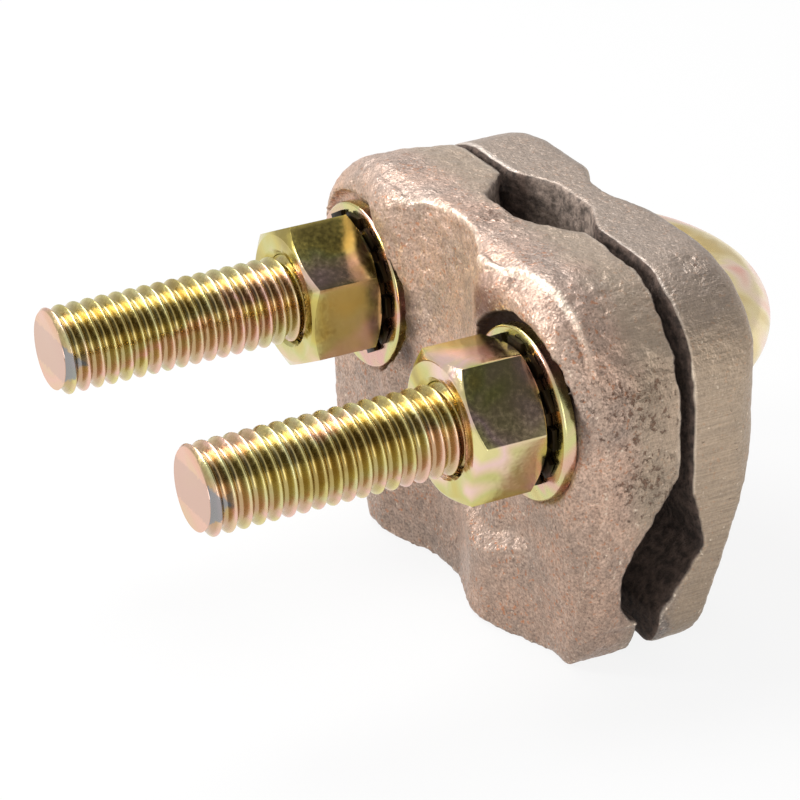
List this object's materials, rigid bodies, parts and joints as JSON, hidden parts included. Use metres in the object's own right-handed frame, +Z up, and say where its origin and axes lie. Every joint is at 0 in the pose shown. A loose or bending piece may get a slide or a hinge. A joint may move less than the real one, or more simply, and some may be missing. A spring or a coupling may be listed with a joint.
{
  "type": "ground rod connector",
  "caption": "Ground rod clamp: bronze front and rear castings with cable channels, drawn together on a yellow chromate U-bolt by hex nuts, to bond bare cable to an earth rod.",
  "frame": {"origin": "Middle of the bounding box in X and Y, on the castings' lowest face.", "axes": "X across the two legs, Y from the leg tips to the bend of the U-bolt, Z up along the ground rod."},
  "size_m": [0.0564, 0.072, 0.0402],
  "materials": {
    "cast_bronze": "sand-cast bronze, tumbled, with linished faces beside the gap",
    "yellow_zinc": "zinc plate with yellow iridescent chromate"
  },
  "bodies": {
    "front_clamp": {"front_clamp": "cast_bronze", "flat_washer_left": "yellow_zinc", "flat_washer_right": "yellow_zinc", "tooth_washer_left": "yellow_zinc", "tooth_washer_right": "yellow_zinc"},
    "left_nut": {"hex_nut_left": "yellow_zinc"},
    "right_nut": {"hex_nut_right": "yellow_zinc"},
    "u_bolt": {"u_bolt": "yellow_zinc"},
    "rear_saddle": {"rear_saddle": "cast_bronze"}
  },
  "joints": [
    {"name": "left_nut_turn", "type": "hinge", "parent": "front_clamp", "child": "left_nut", "pos_m": [-0.01745, -0.0054, 0.0265], "axis": [0, -1, 0], "range_deg": [0, 5443]},
    {"name": "right_nut_turn", "type": "hinge", "parent": "front_clamp", "child": "right_nut", "pos_m": [0.01745, -0.0054, 0.0265], "axis": [0, -1, 0], "range_deg": [0, 5443]},
    {"name": "u_bolt_slide", "type": "slide", "parent": "front_clamp", "child": "u_bolt", "axis": [0, 1, 0], "range_m": [0, 0.024]},
    {"name": "saddle_slide", "type": "slide", "parent": "front_clamp", "child": "rear_saddle", "axis": [0, 1, 0], "range_m": [0, 0.012]}
  ],
  "couplings": [
    {"joint": "left_nut_turn", "follows": "u_bolt_slide", "rad_per_m": 3957.9},
    {"joint": "right_nut_turn", "follows": "u_bolt_slide", "rad_per_m": 3957.9},
    {"joint": "saddle_slide", "follows": "u_bolt_slide", "ratio": 0.5}
  ]
}
